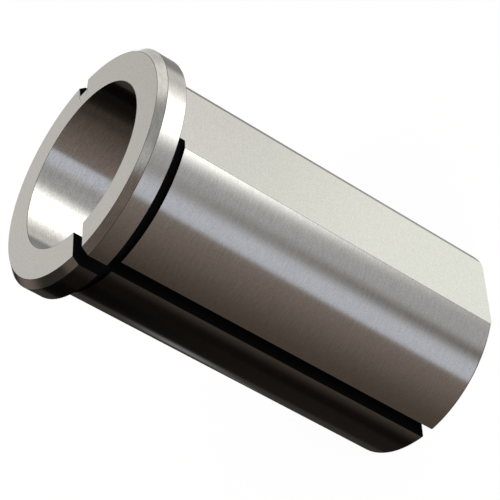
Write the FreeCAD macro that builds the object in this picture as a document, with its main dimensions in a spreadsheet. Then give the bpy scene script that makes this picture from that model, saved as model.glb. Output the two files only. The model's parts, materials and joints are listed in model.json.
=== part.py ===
"""Boring bar holder: a flanged split sleeve, turned from one bar of steel.

The sleeve stands on its back end. Z runs along its axis, up to the flange, and the origin is the
middle of the back end. The clamping flat faces +X, the through slit is at -Y and the flex slot is
at +Y. Lengths are in millimetres.
"""
import FreeCAD, Part
import math
import os
import Sketcher

Vector = FreeCAD.Vector

# Driving dimensions: the name of each, its value and what it measures
SIZES = [
    ("bore_diameter", 25.0, "hole for the boring bar"),
    ("wall_thickness", 3.5, "shank's wall around the bore"),
    ("flange_lip", 2.0, "flange's height over the shank"),
    ("flange_thickness", 4.0, "flange, along the axis"),
    ("flange_chamfer", 1.0, "45 degree chamfer on the flange's front edge"),
    ("overall_length", 60.0, "back end to front face"),
    ("back_chamfer", 0.3, "45 degree chamfer on the shank's back end"),
    ("relief_width", 2.1, "groove behind the flange, along the axis"),
    ("relief_depth", 0.5, "groove behind the flange, into the shank"),
    ("flat_depth", 1.25, "clamping flat, below the round of the shank"),
    ("slit_width", 2.0, "through slit, which lets the wall close on the bar"),
    ("flex_slot_width", 2.0, "slot opposite the slit, where the wall bends"),
    ("flex_slot_depth", 1.0, "slot opposite the slit, into the shank"),
]

# Places that follow from them, as expressions on the sheet
BORE_RADIUS = "Sizes.bore_diameter / 2"
SHANK_RADIUS = f"{BORE_RADIUS} + Sizes.wall_thickness"
FLANGE_RADIUS = f"{SHANK_RADIUS} + Sizes.flange_lip"
FLANGE_BACK = "Sizes.overall_length - Sizes.flange_thickness"
PAST_THE_RIM = f"2 * ({FLANGE_RADIUS})"

# How a sketch numbers its origin, its axes and the two ends of a line
ORIGIN = (-1, 1)
HORIZONTAL_AXIS = -1
VERTICAL_AXIS = -2
LINE_START = 1
LINE_END = 2

FULL_TURN = 360
THROUGH_ALL = 1
SMALLEST_CUT = 1e-3


def make_sheet(doc):
    """Writes the driving dimensions into the spreadsheet, one to a row."""
    sheet = doc.addObject("Spreadsheet::Sheet", "Sizes")
    for row, (alias, value, meaning) in enumerate(SIZES, start=1):
        sheet.set(f"A{row}", meaning)
        sheet.set(f"B{row}", str(value))
        sheet.setAlias(f"B{row}", alias)
    doc.recompute()


def new_sketch(body, plane_role, name):
    """Starts a sketch on one of the body's own origin planes."""
    plane = next(item for item in body.Origin.OriginFeatures if item.Role == plane_role)
    sketch = body.newObject("Sketcher::SketchObject", name)
    sketch.AttachmentSupport = (plane, "")
    sketch.MapMode = "FlatFace"
    return sketch


def place_corner(sketch, line, name, direction, expression):
    """Dimensions the start of a line from the origin, or holds it on the axis where that is 0."""
    if expression is None:
        axis = VERTICAL_AXIS if direction == "DistanceX" else HORIZONTAL_AXIS
        sketch.addConstraint(Sketcher.Constraint("PointOnObject", line, LINE_START, axis))
        return
    label = f"{name}_{direction[-1].lower()}"
    rough_value = 1.0
    dimension = Sketcher.Constraint(direction, *ORIGIN, line, LINE_START, rough_value)
    sketch.renameConstraint(sketch.addConstraint(dimension), label)
    sketch.setExpression(f"Constraints.{label}", expression)


def draw_outline(sketch, corners):
    """Draws a closed outline through named corners, each dimensioned across and up.

    The lines start on a rough circle, because the dimensions alone say where each corner goes.
    """
    count = len(corners)
    angles = [math.radians(FULL_TURN * index / count) for index in range(count)]
    rough = [Vector(math.cos(angle), math.sin(angle), 0) for angle in angles]
    for index in range(count):
        sketch.addGeometry(Part.LineSegment(rough[index], rough[(index + 1) % count]), False)
    for index in range(count):
        following = (index + 1) % count
        joint = Sketcher.Constraint("Coincident", index, LINE_END, following, LINE_START)
        sketch.addConstraint(joint)
    for index, (name, across, up) in enumerate(corners):
        place_corner(sketch, index, name, "DistanceX", across)
        place_corner(sketch, index, name, "DistanceY", up)


def draw_slot(sketch, width, near, far):
    """Draws a slot's section, centred on the sketch's vertical axis, from near to far."""
    draw_outline(sketch, [
        ("near_left", f"-{width} / 2", near),
        ("near_right", f"{width} / 2", near),
        ("far_right", f"{width} / 2", far),
        ("far_left", f"-{width} / 2", far),
    ])


def turn_blank(body):
    """Turns and bores the blank: shank, flange and both chamfers from one profile."""
    sketch = new_sketch(body, "XZ_Plane", "TurnedProfile")
    draw_outline(sketch, [
        ("bore_back", BORE_RADIUS, None),
        ("end_edge", f"{SHANK_RADIUS} - Sizes.back_chamfer", None),
        ("shank_back", SHANK_RADIUS, "Sizes.back_chamfer"),
        ("shank_front", SHANK_RADIUS, FLANGE_BACK),
        ("rim_back", FLANGE_RADIUS, FLANGE_BACK),
        ("rim_front", FLANGE_RADIUS, "Sizes.overall_length - Sizes.flange_chamfer"),
        ("face_edge", f"{FLANGE_RADIUS} - Sizes.flange_chamfer", "Sizes.overall_length"),
        ("bore_front", BORE_RADIUS, "Sizes.overall_length"),
    ])
    blank = body.newObject("PartDesign::Revolution", "TurnedBlank")
    blank.Profile = sketch
    blank.ReferenceAxis = (sketch, ["V_Axis"])
    blank.Angle = FULL_TURN
    return blank


def turn_relief(body):
    """Turns the relief groove into the shank, against the flange's back face."""
    sketch = new_sketch(body, "XZ_Plane", "ReliefProfile")
    floor = f"{SHANK_RADIUS} - Sizes.relief_depth"
    groove_back = f"{FLANGE_BACK} - Sizes.relief_width"
    draw_outline(sketch, [
        ("floor_back", floor, groove_back),
        ("mouth_back", FLANGE_RADIUS, groove_back),
        ("mouth_front", FLANGE_RADIUS, FLANGE_BACK),
        ("floor_front", floor, FLANGE_BACK),
    ])
    relief = body.newObject("PartDesign::Groove", "Relief")
    relief.Profile = sketch
    relief.ReferenceAxis = (sketch, ["V_Axis"])
    relief.Angle = FULL_TURN
    return relief


def mill_flat(body):
    """Mills the clamping flat along the shank, from the back end up to the flange."""
    sketch = new_sketch(body, "XY_Plane", "FlatSection")
    flat = f"{SHANK_RADIUS} - Sizes.flat_depth"
    draw_outline(sketch, [
        ("flat_low", flat, f"-({FLANGE_RADIUS})"),
        ("outer_low", FLANGE_RADIUS, f"-({FLANGE_RADIUS})"),
        ("outer_high", FLANGE_RADIUS, FLANGE_RADIUS),
        ("flat_high", flat, FLANGE_RADIUS),
    ])
    pocket = body.newObject("PartDesign::Pocket", "ClampingFlat")
    pocket.Profile = sketch
    pocket.setExpression("Length", FLANGE_BACK)
    pocket.Reversed = True
    return pocket


def saw_slit(body):
    """Saws the slit through one side of the wall, from end to end."""
    sketch = new_sketch(body, "XY_Plane", "SlitSection")
    draw_slot(sketch, "Sizes.slit_width", None, f"-({PAST_THE_RIM})")
    slit = body.newObject("PartDesign::Pocket", "Slit")
    slit.Profile = sketch
    slit.Type = THROUGH_ALL
    slit.Reversed = True
    return slit


def saw_flex_slot(body):
    """Saws the shallow slot opposite the slit, through the flange and along the shank."""
    sketch = new_sketch(body, "XY_Plane", "FlexSlotSection")
    floor = f"{SHANK_RADIUS} - Sizes.flex_slot_depth"
    draw_slot(sketch, "Sizes.flex_slot_width", floor, PAST_THE_RIM)
    slot = body.newObject("PartDesign::Pocket", "FlexSlot")
    slot.Profile = sketch
    slot.Type = THROUGH_ALL
    slot.Reversed = True
    return slot


def make_sleeve(doc):
    """Builds the sleeve in the order of its making, and checks that each cut takes metal off."""
    body = doc.addObject("PartDesign::Body", "Sleeve")
    body.Label = "split_sleeve"
    turn_blank(body)
    doc.recompute()
    volume = body.Shape.Volume
    for cut in (turn_relief, mill_flat, saw_slit, saw_flex_slot):
        feature = cut(body)
        doc.recompute()
        if volume - body.Shape.Volume < SMALLEST_CUT:
            raise RuntimeError(f"{feature.Name} cuts nothing")
        volume = body.Shape.Volume
    return body


def check(doc, bodies):
    """Stops before anything is written if a feature failed or a piece isn't one sound solid."""
    for item in doc.Objects:
        if "Invalid" in item.State or "Error" in item.State:
            raise RuntimeError(f"{item.Name} failed: {item.State}")
    for body in bodies:
        if body.Shape.isNull() or not body.Shape.isValid() or len(body.Shape.Solids) != 1:
            raise RuntimeError(f"{body.Label} isn't one sound solid")


def main():
    doc = FreeCAD.newDocument("BoringBarHolder")
    make_sheet(doc)
    bodies = [make_sleeve(doc)]
    check(doc, bodies)
    os.makedirs("parts", exist_ok=True)
    for body in bodies:
        body.Shape.exportStep(os.path.join("parts", f"{body.Label}.step"))
        box = body.Shape.BoundBox
        print(f"{body.Label}: {body.Shape.Volume:.1f} mm3, "
              f"{box.XLength:.2f} x {box.YLength:.2f} x {box.ZLength:.2f} mm")


main()
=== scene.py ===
"""Boring bar holder: the looks of the flanged split sleeve, in its own frame.

The sleeve stands on its back end, with +Z along the bore and up to the flange's front face. The
clamping flat faces +X, the through slit is at -Y and the flex slot at +Y. Lengths are in metres.
"""

import json
import math
from collections import namedtuple

import bmesh
import bpy
from bpy.props import FloatProperty, FloatVectorProperty, IntProperty, PointerProperty
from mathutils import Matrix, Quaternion, Vector


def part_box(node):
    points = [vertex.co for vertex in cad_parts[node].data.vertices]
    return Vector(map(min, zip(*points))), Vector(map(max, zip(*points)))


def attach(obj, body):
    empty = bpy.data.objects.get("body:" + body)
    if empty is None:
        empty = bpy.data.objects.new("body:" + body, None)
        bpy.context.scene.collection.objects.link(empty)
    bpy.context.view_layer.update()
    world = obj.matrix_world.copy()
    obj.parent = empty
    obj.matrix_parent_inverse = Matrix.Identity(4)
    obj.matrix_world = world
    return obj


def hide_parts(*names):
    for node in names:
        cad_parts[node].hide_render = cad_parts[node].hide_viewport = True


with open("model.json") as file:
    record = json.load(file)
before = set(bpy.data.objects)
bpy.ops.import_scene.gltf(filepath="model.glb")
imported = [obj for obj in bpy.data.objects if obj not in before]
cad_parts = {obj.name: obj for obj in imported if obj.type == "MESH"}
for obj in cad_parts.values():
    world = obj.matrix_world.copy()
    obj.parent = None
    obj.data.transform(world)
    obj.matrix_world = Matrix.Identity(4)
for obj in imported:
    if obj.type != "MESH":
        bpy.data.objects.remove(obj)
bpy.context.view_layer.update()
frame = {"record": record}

bl_info = {
    "name": "Boring bar holder",
    "version": (1, 0, 0),
    "blender": (4, 5, 0),
    "location": "3D View > Sidebar > Holder",
    "description": "Builds the split sleeve's turned, milled and sawn surfaces, and its stage",
    "category": "Object",
}

MM = 0.001
NODE = "split_sleeve"
MOUNTS = {mount["name"]: mount for mount in frame["record"]["mounts"]}

# The sleeve's own places, from its mounts and its box
BORE_RADIUS = MOUNTS["bar_bore"]["dims"]["r_mm"] * MM
SHANK_RADIUS = MOUNTS["shank"]["dims"]["r_mm"] * MM
SHANK_MIDDLE = MOUNTS["shank"]["pos_m"][2]
SHANK_LENGTH = MOUNTS["shank"]["dims"]["length_mm"] * MM
SHANK_BACK = SHANK_MIDDLE - SHANK_LENGTH / 2
SHANK_FRONT = SHANK_MIDDLE + SHANK_LENGTH / 2
FLAT_PLACE = MOUNTS["clamp_flat"]["pos_m"][0]
FLANGE_BACK = MOUNTS["shoulder"]["pos_m"][2]
FRONT = MOUNTS["front_face"]["pos_m"][2]
FLANGE_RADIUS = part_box(NODE)[1].x

# The sleeve's finishes, in the order of its material slots. The sawn finish is near-black painted
# shade in the slits, the flex slot and the groove
TURNED, FACED, MILLED, BORED, SHADED_SAWN, EDGE = range(6)

# The rings of points, counted up the outside from the back end, that finishes are chosen by
BACK_CHAMFER_RING = 0
SHANK_RING = 1
GROOVE_FLOOR_RING = 3
FRONT_FACE_RING = 8

# Stretches across the flex slot: two to each side, and its floor
SLOT_STRETCHES = 5

# Where the long stretches stand in a ring's layout
BEFORE_FLAT = 0
ON_FLAT = 2
AFTER_FLAT = 4
AFTER_SLOT = 10

# Angles in degrees over which an edge is blunt or sharp, and the share of the break of a blunt one
BLUNT_EDGE = 20
SHARP_EDGE = 30
BLUNT_SHARE = 0.6

# The steel's grain: how fine it is along and across the turning, and how much it changes
STREAKS_PER_MM = 12.0
WAVERS_PER_MM = 0.7
SPECKS_PER_MM = 5.0
RADIUS_IN_TRAVEL = 0.6
STREAK_ROUGHNESS = 0.06
DARKEST_LEVEL = 0.6
LIGHTEST_LEVEL = 1.4

# The floor's half width in metres, how white its paint is, and how much of it glows
FLOOR_HALF = 4.0
FLOOR_PAINT = 0.98
FLOOR_GLOW = 0.95

# The lamp's height over the horizon, its strength, and how wide it is
LAMP_ELEVATION = math.radians(62)
LAMP_ENERGY = 2.3
LAMP_ANGLE = math.radians(40)

# The nearest and the farthest that the camera sees, in metres
NEAR_CLIP = 0.01
FAR_CLIP = 20.0


class SleeveSizes(bpy.types.PropertyGroup):
    """Sizes that the frame doesn't name."""

    slit_width: FloatProperty(
        name="Slit width", description="Width of the through slit",
        default=2.0 * MM, unit="LENGTH", precision=5)
    slot_width: FloatProperty(
        name="Flex slot width", description="Width of the shallow slot opposite the slit",
        default=2.0 * MM, unit="LENGTH", precision=5)
    slot_depth: FloatProperty(
        name="Flex slot depth", description="Depth of the shallow slot, into the shank",
        default=1.0 * MM, unit="LENGTH", precision=5)
    relief_depth: FloatProperty(
        name="Relief depth", description="Depth of the groove behind the flange",
        default=0.5 * MM, unit="LENGTH", precision=5)
    flange_chamfer: FloatProperty(
        name="Flange chamfer", description="45 degree chamfer on the flange's front edge",
        default=1.0 * MM, unit="LENGTH", precision=5)
    rim_break: FloatProperty(
        name="Rim break",
        description="Length along the axis that a file takes off the rim's back edge",
        default=0.08 * MM, unit="LENGTH", precision=6)
    edge_break: FloatProperty(
        name="Edge break", description="Width that a file takes off each sharp edge",
        default=0.035 * MM, unit="LENGTH", precision=6)
    bore_break: FloatProperty(
        name="Bore break", description="Width of the dark line round the bore, on the front face",
        default=0.07 * MM, unit="LENGTH", precision=6)
    turn_facets: IntProperty(
        name="Facets", description="Facets that a full turn of the sleeve would have",
        default=288, min=24)


class SteelFinish(bpy.types.PropertyGroup):
    """Colours and polish of the bare steel, and the near-black painted shade of its sawn cuts."""

    turned_color: FloatVectorProperty(
        name="Turned steel", description="Colour of the turned steel",
        default=(0.56, 0.55, 0.52), subtype="COLOR", min=0, max=1)
    # Near-black painted shade: the slits, the flex slot and the groove stay dark under any light
    sawn_shade_color: FloatVectorProperty(
        name="Sawn steel", description="Colour of the steel inside the slits and the groove",
        default=(0.004, 0.004, 0.004), subtype="COLOR", min=0, max=1)
    edge_color: FloatVectorProperty(
        name="Edges", description="Colour of the broken edges",
        default=(0.045, 0.042, 0.04), subtype="COLOR", min=0, max=1)
    turned_roughness: FloatProperty(
        name="Turned roughness", description="Roughness of the turned steel",
        default=0.14, min=0, max=1, subtype="FACTOR")


class StageLook(bpy.types.PropertyGroup):
    """Where the camera stands, and the floor."""

    aim: FloatVectorProperty(
        name="Aim", description="Point that the camera looks at",
        default=(0.0004, 0.0012, 0.0315), subtype="TRANSLATION", unit="LENGTH")
    camera_distance: FloatProperty(
        name="Camera distance", description="From the aim to the camera",
        default=0.2984, unit="LENGTH")
    camera_azimuth: FloatProperty(
        name="Camera azimuth", description="Angle round the sleeve, from -Y towards +X",
        default=math.radians(35.52), subtype="ANGLE")
    camera_elevation: FloatProperty(
        name="Camera elevation", description="Angle above the floor",
        default=math.radians(26.33), subtype="ANGLE")
    camera_roll: FloatProperty(
        name="Camera roll", description="Turn about the line of sight",
        default=math.radians(-60.79), subtype="ANGLE")
    camera_lens: FloatProperty(
        name="Lens", description="Focal length, in millimetres", default=154.48)
    floor_color: FloatVectorProperty(
        name="Floor", description="Colour of the floor and of what lies behind it",
        default=(1.0, 1.0, 1.0), subtype="COLOR", min=0, max=1)


class Signal:
    """A socket that numbers are added to and taken from with Math nodes."""

    def __init__(self, board, socket):
        self.board = board
        self.socket = socket

    def __add__(self, other):
        return self.board.maths("ADD", self, other)

    def __radd__(self, other):
        return self.board.maths("ADD", other, self)

    def __sub__(self, other):
        return self.board.maths("SUBTRACT", self, other)

    def __rsub__(self, other):
        return self.board.maths("SUBTRACT", other, self)

    def __mul__(self, other):
        return self.board.maths("MULTIPLY", self, other)

    def __abs__(self):
        return self.board.maths("ABSOLUTE", self)


class Board:
    """A node tree, cleared, with one method that adds any node."""

    def __init__(self, tree):
        self.tree = tree
        tree.nodes.clear()

    def node(self, kind, settings=None, sockets=None):
        """Adds a node, sets its settings, then gives its sockets their values or links."""
        made = self.tree.nodes.new(kind)
        for name, value in (settings or {}).items():
            setattr(made, name, value)
        for name, value in (sockets or {}).items():
            target = find_socket(made.inputs, name)
            if isinstance(value, Signal):
                self.tree.links.new(value.socket, target)
            else:
                target.default_value = value
        return made

    def signal(self, kind, settings=None, sockets=None, output=0):
        """Adds a node and gives one of its outputs."""
        made = self.node(kind, settings, sockets)
        return Signal(self, find_socket(made.outputs, output))

    def maths(self, operation, *terms):
        return self.signal("ShaderNodeMath", {"operation": operation}, dict(enumerate(terms)))

    def mix(self, share, first, second):
        """A colour between two others."""
        settings = {"data_type": "RGBA"}
        return self.signal("ShaderNodeMix", settings,
                           {"Factor": share, "A": first, "B": second}, "Result")

    def ramp(self, value, low, high, low_result=0.0, high_result=1.0):
        """Eases from one result to another as the value goes from low to high."""
        settings = {"interpolation_type": "SMOOTHSTEP"}
        return self.signal("ShaderNodeMapRange", settings, {
            "Value": value, "From Min": low, "From Max": high,
            "To Min": low_result, "To Max": high_result,
        })


def find_socket(sockets, name):
    """A node's socket by its number, or by its name among those in use."""
    if isinstance(name, int):
        return sockets[name]
    return next(socket for socket in sockets if socket.enabled and socket.name == name)


def rgba(color, level=1.0):
    """A colour at a level, as a socket takes it."""
    return (*(channel * level for channel in color), 1.0)


def on_circle(radius, angle):
    return (radius * math.cos(angle), radius * math.sin(angle))


def spread(start, end, count):
    """Evenly spaced numbers from start up to, but not including, end."""
    return [start + (end - start) * index / count for index in range(count)]


class Section:
    """The sleeve's section at one radius, as points from one lip of the slit round to the other.

    Every section has the same points in the same order, so that neighbours join in quads. The
    kinds say what lies between a point and the next: round, flat or slot.
    """

    def __init__(self, sizes):
        self.half_slit = sizes.slit_width / 2
        self.half_slot = sizes.slot_width / 2
        self.slot_floor = SHANK_RADIUS - sizes.slot_depth
        self.relief_radius = SHANK_RADIUS - sizes.relief_depth
        self.facet = math.tau / sizes.turn_facets
        self.flat_edge_angle = math.acos(FLAT_PLACE / SHANK_RADIUS)
        self.runout = math.sqrt(self.relief_radius ** 2 - FLAT_PLACE ** 2)
        self.step_in_slot = math.sqrt(self.relief_radius ** 2 - self.half_slot ** 2)

    def facets(self, start, end):
        """How many facets a stretch between two angles takes, and never none."""
        return max(1, round(abs(end - start) / self.facet))


def ring_layout(section):
    """The kinds of stretch round a section, with the number of facets of each."""
    lip = -math.pi / 2 + math.asin(section.half_slit / SHANK_RADIUS)
    slot_edge = math.pi / 2 - math.asin(section.half_slot / SHANK_RADIUS)
    edge = section.flat_edge_angle
    runout_angle = math.asin(section.runout / section.relief_radius)
    return [
        ("round", section.facets(lip, -edge)),
        ("corner", 1),
        ("flat", section.facets(-runout_angle, runout_angle)),
        ("corner", 1),
        ("round", section.facets(edge, slot_edge)),
        ("slot_side", 1),
        ("slot_side", 1),
        ("slot_floor", 1),
        ("slot_side", 1),
        ("slot_side", 1),
        ("round", section.facets(slot_edge, math.pi + slot_edge)),
    ]


def outer_points(section, radius, has_flat):
    """The outside of the sleeve at one radius: lip, flat, flex slot and back to the other lip."""
    half_slit, half_slot = section.half_slit, section.half_slot
    lip = -math.pi / 2 + math.asin(half_slit / radius)
    slot_top = math.sqrt(radius ** 2 - half_slot ** 2)
    slot_edge = math.atan2(slot_top, half_slot)
    edge = section.flat_edge_angle
    if has_flat and radius > section.relief_radius:
        edge = math.acos(FLAT_PLACE / radius)
    runout = section.runout if has_flat else radius * section.runout / section.relief_radius
    runout_x = FLAT_PLACE if has_flat else math.sqrt(radius ** 2 - runout ** 2)
    counts = [count for kind, count in ring_layout(section)]
    points = [on_circle(radius, angle) for angle in spread(lip, -edge, counts[BEFORE_FLAT])]
    points.append(on_circle(radius, -edge))
    if has_flat:
        points += [(FLAT_PLACE, y) for y in spread(-runout, runout, counts[ON_FLAT])]
    else:
        angle = math.atan2(runout, runout_x)
        turns = spread(-angle, angle, counts[ON_FLAT])
        points += [on_circle(radius, turn) for turn in turns]
    points.append((runout_x, runout))
    to_slot = spread(edge, slot_edge, counts[AFTER_FLAT])
    points += [on_circle(radius, angle) for angle in to_slot]
    points += [(half_slot, slot_top), (half_slot, section.step_in_slot),
               (half_slot, section.slot_floor), (-half_slot, section.slot_floor),
               (-half_slot, section.step_in_slot)]
    other_edge = math.pi - slot_edge
    other_lip = math.pi - lip
    to_lip = spread(other_edge, other_lip, counts[AFTER_SLOT])
    points += [on_circle(radius, angle) for angle in to_lip]
    points.append(on_circle(radius, other_lip))
    return points


def bore_points(section, radius):
    """A circle in or round the bore, with the same points in the same order as the outside."""
    counts = [count for kind, count in ring_layout(section)]
    lip = -math.pi / 2 + math.asin(section.half_slit / radius)
    edge = section.flat_edge_angle
    runout_angle = math.asin(section.runout / section.relief_radius)
    slot_edge = math.pi / 2 - SLOT_STRETCHES / 2 * section.facet
    stops = [lip, -edge, -runout_angle, runout_angle, edge, slot_edge]
    angles = []
    for start, end, count in zip(stops, stops[1:], counts):
        angles += spread(start, end, count)
    angles += spread(slot_edge, math.pi - slot_edge, SLOT_STRETCHES)
    angles += spread(math.pi - slot_edge, math.pi - lip, counts[AFTER_SLOT])
    angles.append(math.pi - lip)
    return [on_circle(radius, angle) for angle in angles]


def sleeve_rings(section, sizes):
    """The rings of points up the outside and down the bore, with the finish that follows each."""
    end_radius = SHANK_RADIUS - SHANK_BACK
    relief = section.relief_radius
    face_radius = FLANGE_RADIUS - sizes.flange_chamfer
    outside = [
        (end_radius, 0.0, True, TURNED),
        (SHANK_RADIUS, SHANK_BACK, True, TURNED),
        # The groove's wall and floor take the sawn finish's near-black painted shade
        (SHANK_RADIUS, SHANK_FRONT, True, SHADED_SAWN),
        (relief, SHANK_FRONT, True, SHADED_SAWN),
        (relief, FLANGE_BACK, True, FACED),
        (FLANGE_RADIUS - sizes.rim_break / 4, FLANGE_BACK, False, EDGE),
        (FLANGE_RADIUS, FLANGE_BACK + sizes.rim_break, False, TURNED),
        (FLANGE_RADIUS, FRONT - sizes.flange_chamfer, False, TURNED),
        (face_radius, FRONT, False, FACED),
    ]
    rings = [([(x, y, z) for x, y in outer_points(section, radius, has_flat)], finish)
             for radius, z, has_flat, finish in outside]
    bore_line = bore_points(section, BORE_RADIUS + sizes.bore_break)
    bore = bore_points(section, BORE_RADIUS)
    rings.append(([(x, y, FRONT) for x, y in bore_line], EDGE))
    rings.append(([(x, y, FRONT) for x, y in bore], BORED))
    rings.append(([(x, y, 0.0) for x, y in bore], FACED))
    return rings


def stretch_finish(kind, finish, ring_index):
    """The finish of one facet: milled on the flat, sawn with near-black painted shade in the slot,
    else that of its ring.
    """
    if kind == "flat" and ring_index in (BACK_CHAMFER_RING, SHANK_RING, GROOVE_FLOOR_RING):
        return MILLED
    if kind == "corner" and ring_index in (BACK_CHAMFER_RING, SHANK_RING):
        return MILLED
    if kind in ("slot_side", "slot_floor") and ring_index < FRONT_FACE_RING:
        return SHADED_SAWN
    return finish


class MeshBuilder:
    """Collects vertices, each place only once, and faces without their collapsed edges."""

    def __init__(self):
        self.numbers = {}
        self.faces = []
        self.finishes = []

    def vertex(self, point):
        key = tuple(round(value / MM, 5) for value in point)
        return self.numbers.setdefault(key, len(self.numbers))

    def face(self, points, finish):
        numbers = [self.vertex(point) for point in points]
        kept = [n for n, before in zip(numbers, numbers[-1:] + numbers[:-1]) if n != before]
        if len(set(kept)) < 3:
            return
        self.faces.append(kept)
        self.finishes.append(finish)

    def mesh(self, name):
        places = [tuple(value * MM for value in key) for key in self.numbers]
        mesh = bpy.data.meshes.new(name)
        mesh.from_pydata(places, [], self.faces)
        mesh.polygons.foreach_set("material_index", self.finishes)
        mesh.polygons.foreach_set("use_smooth", [finish != EDGE for finish in self.finishes])
        mesh.validate()
        mesh.update()
        return mesh


def sleeve_mesh(sizes):
    """The whole sleeve as one closed mesh: rings joined by quads, and the slit's two walls."""
    section = Section(sizes)
    kinds = [kind for kind, count in ring_layout(section) for repeat in range(count)]
    rings = sleeve_rings(section, sizes)
    builder = MeshBuilder()
    for index, (ring, finish) in enumerate(rings):
        following = rings[(index + 1) % len(rings)][0]
        for station, kind in enumerate(kinds):
            corners = [ring[station], ring[station + 1],
                       following[station + 1], following[station]]
            builder.face(corners, stretch_finish(kind, finish, index))
    # The slit's two walls, in the sawn finish's near-black painted shade
    builder.face([ring[0] for ring, finish in rings], SHADED_SAWN)
    builder.face([ring[-1] for ring, finish in reversed(rings)], SHADED_SAWN)
    return builder.mesh("turned_sleeve")


def weigh_edges(mesh):
    """Says how much each edge loses: the blunt edges beside the flat less than the sharp ones."""
    work = bmesh.new()
    work.from_mesh(mesh)
    weights = work.edges.layers.float.new("bevel_weight_edge")
    for edge in work.edges:
        angle = math.degrees(edge.calc_face_angle(0.0))
        if angle > BLUNT_EDGE:
            edge[weights] = 1.0 if angle > SHARP_EDGE else BLUNT_SHARE
    work.to_mesh(mesh)
    work.free()


def break_edges(piece, width):
    """Takes the sharpness off every edge, as a file does, and bakes it into the mesh."""
    weigh_edges(piece.data)
    bevel = piece.modifiers.new("edge_break", "BEVEL")
    bevel.width = width
    bevel.segments = 1
    bevel.limit_method = "WEIGHT"
    bevel.use_clamp_overlap = False
    bevel.harden_normals = True
    bevel.material = EDGE
    depsgraph = bpy.context.evaluated_depsgraph_get()
    finished = bpy.data.meshes.new_from_object(piece.evaluated_get(depsgraph))
    piece.modifiers.clear()
    piece.data = finished
    paint_shade_on_sawn_edges(finished)


def paint_shade_on_sawn_edges(mesh):
    """Gives a broken edge along a sawn wall that wall's near-black painted shade."""
    walls = [face for face in mesh.polygons if face.material_index == SHADED_SAWN]
    sawn_corners = {corner for face in walls for corner in face.vertices}
    for face in mesh.polygons:
        shared = sum(corner in sawn_corners for corner in face.vertices)
        if face.material_index == EDGE and shared > 1:
            face.material_index = SHADED_SAWN


def steel(name, color, roughness, streak, speckle, specular=0.5, metallic=1.0):
    """Bare steel with the tool's fine streaks round the axis, and a finer speckle all over.

    The streaks are noise squeezed along the tool's travel, which is up the round and across the
    faces, so that they follow the turning.
    """
    material = bpy.data.materials.new(name)
    material.use_nodes = True
    board = Board(material.node_tree)
    place = board.signal("ShaderNodeTexCoord", output="Object")
    parts = board.node("ShaderNodeSeparateXYZ", sockets={"Vector": place})
    x, y, z = (Signal(board, socket) for socket in parts.outputs)
    radius = board.maths("SQRT", x * x + y * y)
    travel = z + radius * RADIUS_IN_TRAVEL
    squeezed = board.signal("ShaderNodeCombineXYZ", sockets={
        "X": x * (WAVERS_PER_MM / MM), "Y": y * (WAVERS_PER_MM / MM),
        "Z": travel * (STREAKS_PER_MM / MM)})
    streaks = board.signal("ShaderNodeTexNoise", sockets={
        "Vector": squeezed, "Scale": 1.0, "Detail": 1.0, "Roughness": 0.5})
    specks = board.signal("ShaderNodeTexNoise", sockets={
        "Vector": place, "Scale": SPECKS_PER_MM / MM, "Detail": 1.0, "Roughness": 0.6})
    worn = (streaks - 0.5) * streak
    grain = (specks - 0.5) * speckle + worn + 0.5
    base = board.mix(grain, rgba(color, DARKEST_LEVEL), rgba(color, LIGHTEST_LEVEL))
    surface = board.signal("ShaderNodeBsdfPrincipled", sockets={
        "Base Color": base, "Metallic": metallic,
        "Roughness": worn * STREAK_ROUGHNESS + roughness, "Specular IOR Level": specular})
    board.node("ShaderNodeOutputMaterial", sockets={"Surface": surface})
    return material


def sleeve_materials(finish):
    """One material for each finish, in slot order."""
    color, roughness = finish.turned_color, finish.turned_roughness
    return [
        steel("turned_steel", color, roughness, 0.5, 0.5),
        steel("faced_steel", color, roughness, 0.25, 0.6),
        steel("milled_steel", color, roughness, 0.2, 0.5),
        steel("bored_steel", color, roughness, 0.7, 0.75),
        # Painted shade: near black with no specular and no metal, so the sawn cuts stay dark under
        # any light
        steel("sawn_steel", finish.sawn_shade_color, 0.6, 0.4, 0.8, specular=0.0, metallic=0.0),
        steel("broken_edge", finish.edge_color, 0.35, 0.2, 0.6),
    ]


class HOLDER_OT_make_sleeve(bpy.types.Operator):
    """Build the flanged split sleeve, with its finishes"""

    bl_idname = "holder.make_sleeve"
    bl_label = "Make the sleeve"

    def execute(self, context):
        sizes = context.scene.sleeve_sizes
        piece = bpy.data.objects.new("turned_sleeve", sleeve_mesh(sizes))
        context.scene.collection.objects.link(piece)
        for material in sleeve_materials(context.scene.steel_finish):
            piece.data.materials.append(material)
        break_edges(piece, sizes.edge_break)
        piece.visible_glossy = False
        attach(piece, "root")
        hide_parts(NODE)
        return {"FINISHED"}


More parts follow.
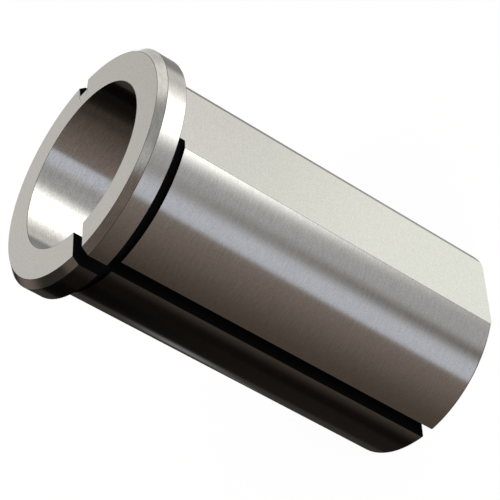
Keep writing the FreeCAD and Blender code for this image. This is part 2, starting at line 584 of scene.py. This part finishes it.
# What the steel mirrors: soft-edged cards round the sleeve, each over the ones before it. Angles
# are in degrees: bearings from +X towards +Y, and heights above the horizon. A fade is the width
# of the soft edge, and reaches half on each side of the card's own edge.
Card = namedtuple("Card", "name bearings side_fade heights end_fade light")
BACKGROUND = (1.0, 1.0, 1.0)
ROOM_LIGHT = (0.6, 0.6, 0.6)
DARK_ROOM = (0.003, 0.0026, 0.0023)
CARDS = [
    Card("dim floor", (-200, 200), 10, (-100, -26), 12, (0.0165, 0.0135, 0.0118)),
    Card("dark gap", (-162, -148), 6, (-100, -18), 8, (0.0075, 0.0058, 0.0048)),
    Card("dark upper wall", (-200, 200), 10, (12, 60), 10, (0.037, 0.033, 0.029)),
    Card("brown ceiling", (-200, 200), 10, (37, 100), 5, (0.157, 0.128, 0.110)),
    Card("lit ceiling", (-86, 75), 40, (37, 100), 6, (0.205, 0.165, 0.142)),
    Card("grey ceiling", (-24, 75), 20, (38, 80), 12, (0.435, 0.44, 0.445)),
    Card("ceiling panel", (-13, 9), 14, (52, 72), 12, (0.62, 0.63, 0.63)),
    Card("far brown wall", (-138.5, -40), 22, (-100, 36), 10, (0.10, 0.077, 0.063)),
    Card("dark doorway", (-180, -126), 14, (-23, 0), 5, (0.009, 0.0072, 0.006)),
    Card("dark corner", (-184, -164), 8, (-24, 0), 5, (0.0028, 0.0022, 0.002)),
    Card("far shade", (-130, -112), 14, (-24, 0), 6, (0.06, 0.046, 0.038)),
    Card("brown wall", (-82, 10), 72, (-100, 36), 10, (0.28, 0.232, 0.21)),
    Card("cool card", (-56.2, 10), 4, (-100, 36), 10, (0.715, 0.75, 0.85)),
    Card("brown post", (-62, -54.5), 5, (-26, 0), 10, (0.26, 0.22, 0.20)),
    Card("grey card", (-36, 30), 12, (-100, 36), 10, (0.55, 0.545, 0.56)),
    Card("dark post", (-32, -21), 12, (-100, -25.5), 18, (0.225, 0.203, 0.193)),
    Card("pale wall", (30, 134.5), 11, (-100, 38), 10, (0.80, 0.78, 0.765)),
    Card("upper pale wall", (40, 85), 14, (14, 37.5), 13, (1.14, 1.12, 1.07)),
    Card("shaded wall", (93, 124), 10, (-10, 16), 8, (0.745, 0.73, 0.71)),
    Card("shaded bay", (95, 122.5), 12, (14, 30), 10, (0.66, 0.645, 0.62)),
    Card("grey strip", (82, 148), 12, (-100, -16), 6, (0.31, 0.305, 0.305)),
    Card("white rail", (108.5, 127), 5, (-17, -10), 5, (1.25, 1.25, 1.25)),
    Card("window jamb", (30, 58.5), 14, (-26, 30), 10, (1.2, 1.19, 1.15)),
    Card("window reveal", (-8.5, 44), 14, (-20, 28), 8, (1.25, 1.24, 1.2)),
    Card("window foot", (8, 38), 20, (-27.2, -18), 14, (2.8, 2.8, 2.75)),
    Card("window", (1.4, 43.8), 26, (-24.2, -15.5), 11, (2.8, 2.8, 2.75)),
    Card("window pane", (15, 33), 10, (-24.5, -15.5), 6, (2.0, 2.0, 1.96)),
    Card("pale table", (30, 99), 20, (-100, -26), 7, (1.28, 1.31, 1.24)),
    Card("near table", (30, 115), 4, (-59, -40), 4, (1.6, 1.6, 1.55)),
    Card("faint card", (130, 165), 6, (-60, -17), 6, (0.046, 0.039, 0.034)),
    Card("faint lamp", (150.5, 162.5), 7, (-26.9, -25.0), 1.5, (0.25, 0.25, 0.25)),
    Card("small lamp", (142, 151), 6, (-28.2, -27.2), 1, (0.12, 0.12, 0.12)),
    Card("brown panel", (147, 169), 18, (-14, 19), 15, (0.205, 0.168, 0.145)),
    Card("dark ground", (115, 390), 6, (-100, -48), 8, (0.09, 0.08, 0.075)),
]
# Gaps between the cards, where the steel shows the white background. The photograph's view
# mirrors almost nothing of them.
GAPS = [
    Card("front gap", (-140, -10), 20, (-3, 34), 10, BACKGROUND),
    Card("back gap", (184, 216), 12, (0, 11), 6, BACKGROUND),
    Card("top gap", (-200, 200), 10, (74, 100), 6, BACKGROUND),
]


def edge_share(board, angle, limits, fade):
    """1 for an angle between the limits, easing to 0 outside them."""
    middle, half = sum(limits) / 2, (limits[1] - limits[0]) / 2
    away = abs(board.maths("WRAP", angle - middle, 180.0, -180.0))
    return board.ramp(away, half - fade / 2, half + fade / 2, 1.0, 0.0)


def card_share(board, card, bearing, height):
    """How much of a card is seen in a direction."""
    across = edge_share(board, bearing, card.bearings, card.side_fade)
    return across * edge_share(board, height, card.heights, card.end_fade)


def light_world(scene):
    """A white background, and the cards round the sleeve, which the camera doesn't see.

    The background is white to the camera, and to glossy and transmission rays in the gaps between
    the cards. Elsewhere the steel mirrors the cards, because the photograph's steel mirrors a dark
    room with pale walls in it, and plain white all round would leave it an even light grey.
    """
    world = bpy.data.worlds.new("studio")
    world.use_nodes = True
    board = Board(world.node_tree)
    direction = board.signal("ShaderNodeTexCoord", output="Generated")
    parts = board.node("ShaderNodeSeparateXYZ", sockets={"Vector": direction})
    x, y, z = (Signal(board, socket) for socket in parts.outputs)
    bearing = board.maths("ARCTAN2", y, x) * math.degrees(1)
    height = board.maths("ARCSINE", z) * math.degrees(1)
    camera, glossy, transmission = ray_kinds(board)
    light = board.mix(camera + glossy + transmission, rgba(ROOM_LIGHT), rgba(BACKGROUND))
    gaps = sum(card_share(board, gap, bearing, height) for gap in GAPS)
    covered = (1 - gaps) * (1 - camera)
    light = board.mix(covered, light, rgba(DARK_ROOM))
    for card in CARDS:
        share = card_share(board, card, bearing, height) * covered
        light = board.mix(share, light, rgba(card.light))
    background = board.signal("ShaderNodeBackground", sockets={"Color": light, "Strength": 1.0})
    board.node("ShaderNodeOutputWorld", sockets={"Surface": background})
    scene.world = world


def ray_kinds(board):
    """Which rays come from the camera, from gloss and through glass."""
    rays = board.node("ShaderNodeLightPath")
    names = ("Is Camera Ray", "Is Glossy Ray", "Is Transmission Ray")
    return [Signal(board, find_socket(rays.outputs, name)) for name in names]


def lay_floor(look):
    """A wide white floor that keeps a faint shadow of the sleeve.

    It is hidden from glossy rays, so the steel doesn't mirror it, and the glossy share of its glow
    has no effect.
    """
    mesh = bpy.data.meshes.new("floor")
    signs = [(-1, -1), (1, -1), (1, 1), (-1, 1)]
    corners = [(across * FLOOR_HALF, along * FLOOR_HALF, 0.0) for across, along in signs]
    mesh.from_pydata(corners, [], [(0, 1, 2, 3)])
    floor = bpy.data.objects.new("floor", mesh)
    bpy.context.scene.collection.objects.link(floor)
    material = bpy.data.materials.new("floor")
    material.use_nodes = True
    board = Board(material.node_tree)
    paint = board.signal("ShaderNodeBsdfDiffuse", sockets={
        "Color": rgba(look.floor_color, FLOOR_PAINT)})
    glow = board.signal("ShaderNodeEmission", sockets={"Color": rgba(look.floor_color)})
    camera, glossy, transmission = ray_kinds(board)
    share = (camera + glossy + transmission) * FLOOR_GLOW
    surface = board.signal("ShaderNodeMixShader", sockets={0: share, 1: paint, 2: glow})
    board.node("ShaderNodeOutputMaterial", sockets={"Surface": surface})
    mesh.materials.append(material)
    floor.visible_glossy = False


def direction_to(azimuth, elevation):
    """The direction at an angle round the sleeve, from -Y towards +X, and one above the floor."""
    return Vector((math.sin(azimuth) * math.cos(elevation),
                   -math.cos(azimuth) * math.cos(elevation), math.sin(elevation)))


def set_camera(scene, look):
    """Puts the camera where the photograph was taken from."""
    back = direction_to(look.camera_azimuth, look.camera_elevation)
    data = bpy.data.cameras.new("camera")
    data.lens = look.camera_lens
    camera = bpy.data.objects.new("camera", data)
    camera.location = Vector(look.aim) + look.camera_distance * back
    camera.rotation_mode = "QUATERNION"
    upright = (-back).to_track_quat("-Z", "Y")
    camera.rotation_quaternion = upright @ Quaternion((0, 0, 1), look.camera_roll)
    data.clip_start = NEAR_CLIP
    data.clip_end = FAR_CLIP
    scene.collection.objects.link(camera)
    scene.camera = camera


def hang_lamp(scene, look):
    """A soft lamp over the camera's side, whose shadow falls behind the sleeve."""
    back = direction_to(look.camera_azimuth, LAMP_ELEVATION)
    data = bpy.data.lights.new("soft_lamp", "SUN")
    data.energy = LAMP_ENERGY
    data.angle = LAMP_ANGLE
    lamp = bpy.data.objects.new("soft_lamp", data)
    lamp.rotation_mode = "QUATERNION"
    lamp.rotation_quaternion = (-back).to_track_quat("-Z", "Y")
    lamp.visible_glossy = False
    scene.collection.objects.link(lamp)


class HOLDER_OT_set_stage(bpy.types.Operator):
    """Lay the floor, light the studio and place the camera"""

    bl_idname = "holder.set_stage"
    bl_label = "Set the stage"

    def execute(self, context):
        scene, look = context.scene, context.scene.stage_look
        scene.view_settings.view_transform = "Standard"
        lay_floor(look)
        light_world(scene)
        hang_lamp(scene, look)
        set_camera(scene, look)
        return {"FINISHED"}


class HOLDER_PT_steps(bpy.types.Panel):
    """The steps that build the holder."""

    bl_idname = "HOLDER_PT_steps"
    bl_label = "Boring bar holder"
    bl_space_type = "VIEW_3D"
    bl_region_type = "UI"
    bl_category = "Holder"

    def draw(self, context):
        for operator in OPERATORS:
            self.layout.operator(operator.bl_idname)


SETTINGS = {"sleeve_sizes": SleeveSizes, "steel_finish": SteelFinish, "stage_look": StageLook}
OPERATORS = [HOLDER_OT_make_sleeve, HOLDER_OT_set_stage]
CLASSES = [*SETTINGS.values(), *OPERATORS, HOLDER_PT_steps]


def register():
    for item in CLASSES:
        bpy.utils.register_class(item)
    for name, group in SETTINGS.items():
        setattr(bpy.types.Scene, name, PointerProperty(type=group))


def unregister():
    for name in SETTINGS:
        delattr(bpy.types.Scene, name)
    for item in reversed(CLASSES):
        bpy.utils.unregister_class(item)


def main():
    register()
    bpy.ops.holder.make_sleeve()
    bpy.ops.holder.set_stage()


if __name__ == "__main__":
    main()
